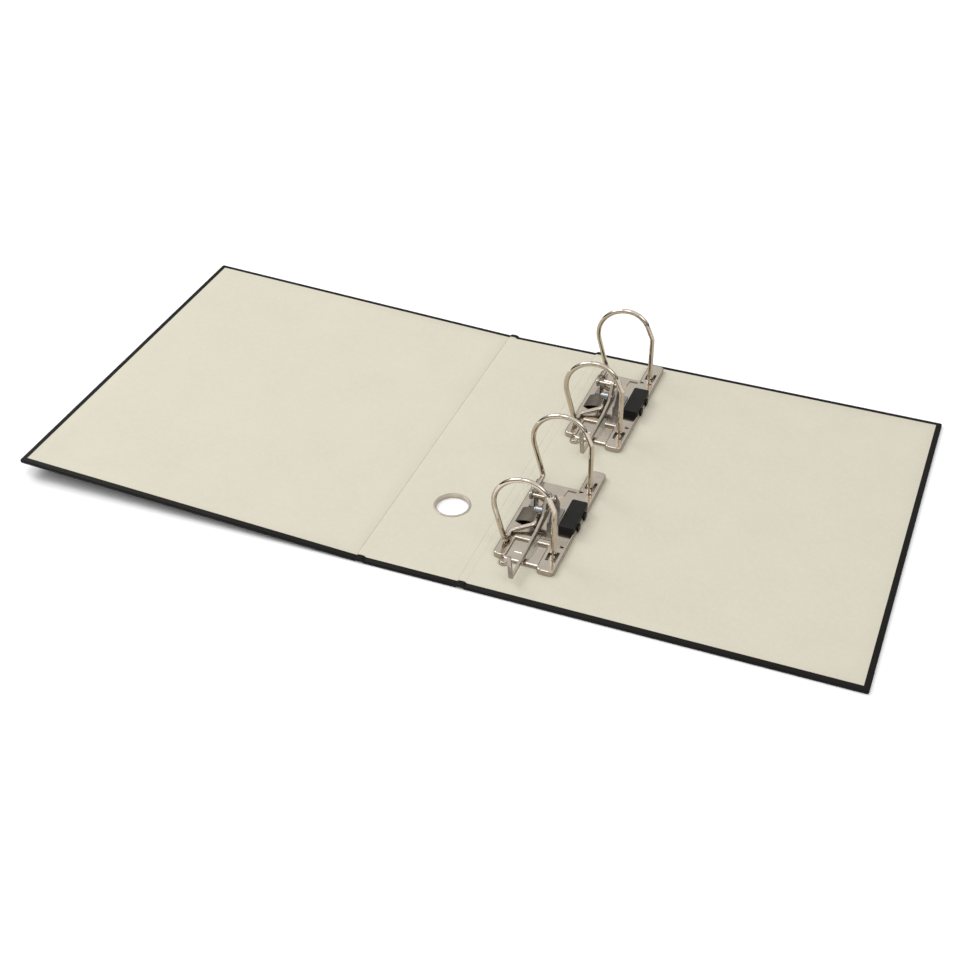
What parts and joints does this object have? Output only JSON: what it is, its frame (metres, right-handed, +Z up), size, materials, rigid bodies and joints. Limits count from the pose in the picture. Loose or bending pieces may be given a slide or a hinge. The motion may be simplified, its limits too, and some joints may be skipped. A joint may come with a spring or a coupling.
{
  "type": "lever arch file",
  "caption": "Open lever arch file: two hinged covers, a spine with a ringed finger hole, and paired lever arch mechanisms on the back cover.",
  "frame": {"origin": "centre of the bounding box, on the surface the open file lies on", "axes": "+X to the back cover's free edge, +Y to the top edge, +Z up from the outside to the inside of the covers"},
  "size_m": [0.6328, 0.31, 0.0679],
  "materials": {
    "greyboard": "raw greyboard",
    "covering": "fine grained black covering",
    "lining": "matt cream grey paper",
    "ring_metal": "nickel plated",
    "nickel": "warm nickel plate",
    "bracket_steel": "plain steel",
    "spring_steel": "brushed spring steel",
    "roller_zinc": "blue passivated zinc",
    "pad": "satin moulded black"
  },
  "bodies": {
    "back_cover": {"back_board": "greyboard", "back_covering": "covering", "back_lining": "lining", "lower_base_plate": "nickel", "lower_near_post": "nickel", "lower_far_post": "nickel", "lower_left_ear": "bracket_steel", "lower_right_ear": "bracket_steel", "lower_pivot_pin": "nickel", "lower_paper_pad": "pad", "lower_rivet": "nickel", "upper_base_plate": "nickel", "upper_near_post": "nickel", "upper_far_post": "nickel", "upper_left_ear": "bracket_steel", "upper_right_ear": "bracket_steel", "upper_pivot_pin": "nickel", "upper_paper_pad": "pad", "upper_rivet": "nickel"},
    "spine": {"spine_board": "greyboard", "spine_covering": "covering", "spine_lining": "lining", "finger_ring_outer": "ring_metal", "finger_ring_inner": "ring_metal"},
    "front_cover": {"front_board": "greyboard", "front_covering": "covering", "front_lining": "lining"},
    "lower_arch": {"lower_arch_wire": "nickel"},
    "lower_lever_arm": {"lower_lever": "nickel", "lower_roller_axle": "nickel"},
    "lower_lever_roller": {"lower_roller": "roller_zinc"},
    "lower_spring": {"lower_leaf_spring": "spring_steel"},
    "upper_arch": {"upper_arch_wire": "nickel"},
    "upper_lever_arm": {"upper_lever": "nickel", "upper_roller_axle": "nickel"},
    "upper_lever_roller": {"upper_roller": "roller_zinc"},
    "upper_spring": {"upper_leaf_spring": "spring_steel"}
  },
  "joints": [
    {"name": "spine_hinge", "type": "hinge", "parent": "back_cover", "child": "spine", "pos_m": [0.03793, 0, 0.003], "axis": [0, -1, 0], "range_deg": [-90, 0]},
    {"name": "front_hinge", "type": "hinge", "parent": "spine", "child": "front_cover", "pos_m": [-0.03807, 0, 0.003], "axis": [0, -1, 0], "range_deg": [-87.5, 0]},
    {"name": "lower_lever_lift", "type": "hinge", "parent": "back_cover", "child": "lower_lever_arm", "pos_m": [0.07043, -0.068, 0.024], "axis": [-1, 0, 0], "range_deg": [0, 90]},
    {"name": "lower_roller_spin", "type": "hinge", "parent": "lower_lever_arm", "child": "lower_lever_roller", "pos_m": [0.06643, -0.074, 0.0166], "axis": [1, 0, 0], "continuous": true},
    {"name": "lower_arch_open", "type": "hinge", "parent": "back_cover", "child": "lower_arch", "pos_m": [0.05243, -0.066, 0.009], "axis": [0, -1, 0], "range_deg": [0, 40.5]},
    {"name": "lower_spring_flex", "type": "hinge", "parent": "back_cover", "child": "lower_spring", "pos_m": [0.05103, -0.0725, 0.0065], "axis": [0, -1, 0], "range_deg": [0, 18]},
    {"name": "upper_lever_lift", "type": "hinge", "parent": "back_cover", "child": "upper_lever_arm", "pos_m": [0.07043, 0.0844, 0.024], "axis": [-1, 0, 0], "range_deg": [0, 90]},
    {"name": "upper_roller_spin", "type": "hinge", "parent": "upper_lever_arm", "child": "upper_lever_roller", "pos_m": [0.06643, 0.0784, 0.0166], "axis": [1, 0, 0], "continuous": true},
    {"name": "upper_arch_open", "type": "hinge", "parent": "back_cover", "child": "upper_arch", "pos_m": [0.05243, 0.0864, 0.009], "axis": [0, -1, 0], "range_deg": [0, 40.5]},
    {"name": "upper_spring_flex", "type": "hinge", "parent": "back_cover", "child": "upper_spring", "pos_m": [0.05103, 0.0799, 0.0065], "axis": [0, -1, 0], "range_deg": [0, 18]}
  ],
  "couplings": [
    {"joint": "lower_arch_open", "follows": "lower_lever_lift", "ratio": 0.45},
    {"joint": "lower_spring_flex", "follows": "lower_lever_lift", "ratio": 0.2},
    {"joint": "upper_arch_open", "follows": "upper_lever_lift", "ratio": 0.45},
    {"joint": "upper_spring_flex", "follows": "upper_lever_lift", "ratio": 0.2}
  ]
}
